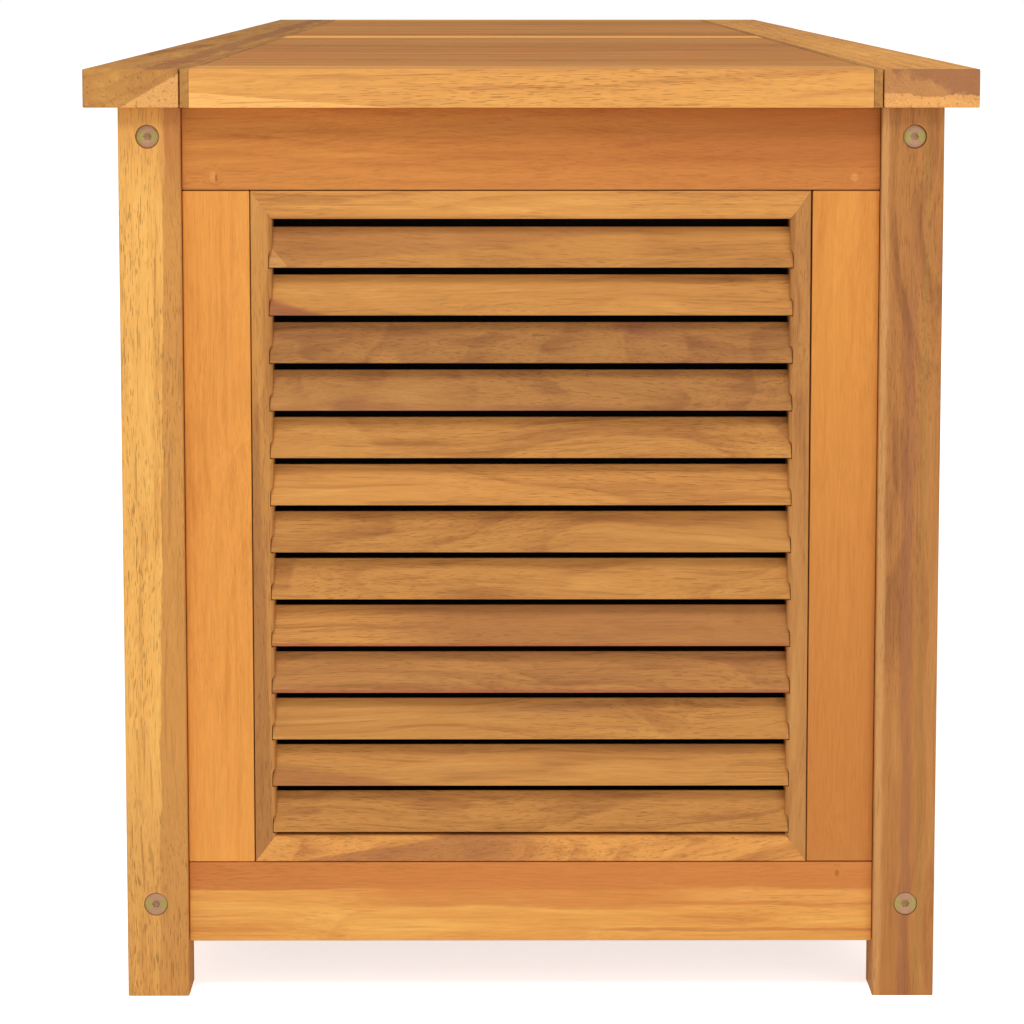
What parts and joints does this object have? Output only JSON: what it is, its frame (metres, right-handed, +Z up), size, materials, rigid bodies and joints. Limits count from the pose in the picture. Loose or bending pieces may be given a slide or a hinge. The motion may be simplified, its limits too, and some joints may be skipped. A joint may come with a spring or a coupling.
{
  "type": "deck storage box",
  "caption": "Long wooden outdoor storage box with louvred panels between square posts and a boarded hinged lid.",
  "frame": {"origin": "on the ground under the middle of the box", "axes": "+X across the width towards the hinged rear side, +Y along the length towards the left-hand end as seen from the front, +Z up"},
  "size_m": [0.5, 1.75, 0.532],
  "materials": {
    "post_wood": "oiled honey teak",
    "rail_wood": "oiled reddish teak",
    "stile_wood": "oiled orange teak",
    "louver_wood": "oiled tan teak",
    "lid_wood": "oiled light teak",
    "lid_slat_wood": "oiled brown teak",
    "floor_wood": "plain sawn teak",
    "black_backing": "matt black painted fibreboard",
    "yellow_zinc": "yellow-passivated zinc",
    "hinge_steel": "satin"
  },
  "bodies": {
    "box": {"bolt_front_left_bottom": "yellow_zinc", "bolt_front_left_top": "yellow_zinc", "bolt_front_right_bottom": "yellow_zinc", "bolt_front_right_top": "yellow_zinc", "bolt_rear_left_bottom": "yellow_zinc", "bolt_rear_left_top": "yellow_zinc", "bolt_rear_right_bottom": "yellow_zinc", "bolt_rear_right_top": "yellow_zinc", "floor_cleat_front": "floor_wood", "floor_cleat_rear": "floor_wood", "floor_panel_left": "floor_wood", "floor_panel_right": "floor_wood", "front_bottom_rail": "rail_wood", "front_louver_panel_1": "louver_wood", "front_louver_panel_2": "louver_wood", "front_louver_panel_3": "louver_wood", "front_stile_1": "stile_wood", "front_stile_2": "stile_wood", "front_stile_3": "stile_wood", "front_stile_4": "stile_wood", "front_top_rail": "rail_wood", "hinge_left_body_leaf": "hinge_steel", "hinge_left_pin": "hinge_steel", "hinge_middle_body_leaf": "hinge_steel", "hinge_middle_pin": "hinge_steel", "hinge_right_body_leaf": "hinge_steel", "hinge_right_pin": "hinge_steel", "left_end_bottom_rail": "rail_wood", "left_end_louver_panel": "louver_wood", "left_end_stile_1": "stile_wood", "left_end_stile_2": "stile_wood", "left_end_top_rail": "rail_wood", "post_front_left": "post_wood", "post_front_right": "post_wood", "post_rear_left": "post_wood", "post_rear_right": "post_wood", "rear_bottom_rail": "rail_wood", "rear_louver_panel_1": "louver_wood", "rear_louver_panel_2": "louver_wood", "rear_louver_panel_3": "louver_wood", "rear_stile_1": "stile_wood", "rear_stile_2": "stile_wood", "rear_stile_3": "stile_wood", "rear_stile_4": "stile_wood", "rear_top_rail": "rail_wood", "right_end_bottom_rail": "rail_wood", "right_end_louver_panel": "louver_wood", "right_end_stile_1": "stile_wood", "right_end_stile_2": "stile_wood", "right_end_top_rail": "rail_wood"},
    "lid": {"hinge_left_lid_leaf": "hinge_steel", "hinge_middle_lid_leaf": "hinge_steel", "hinge_right_lid_leaf": "hinge_steel", "lid_front_rail": "lid_wood", "lid_left_end_rail": "lid_wood", "lid_middle_rail": "lid_wood", "lid_rear_rail": "lid_wood", "lid_right_end_rail": "lid_wood", "lid_slats_left": "lid_slat_wood", "lid_slats_right": "lid_slat_wood"}
  },
  "joints": [
    {"name": "lid_hinge", "type": "hinge", "parent": "box", "child": "lid", "pos_m": [0.2298, 0, 0.5067], "axis": [0, 1, 0], "range_deg": [0, 95]}
  ]
}
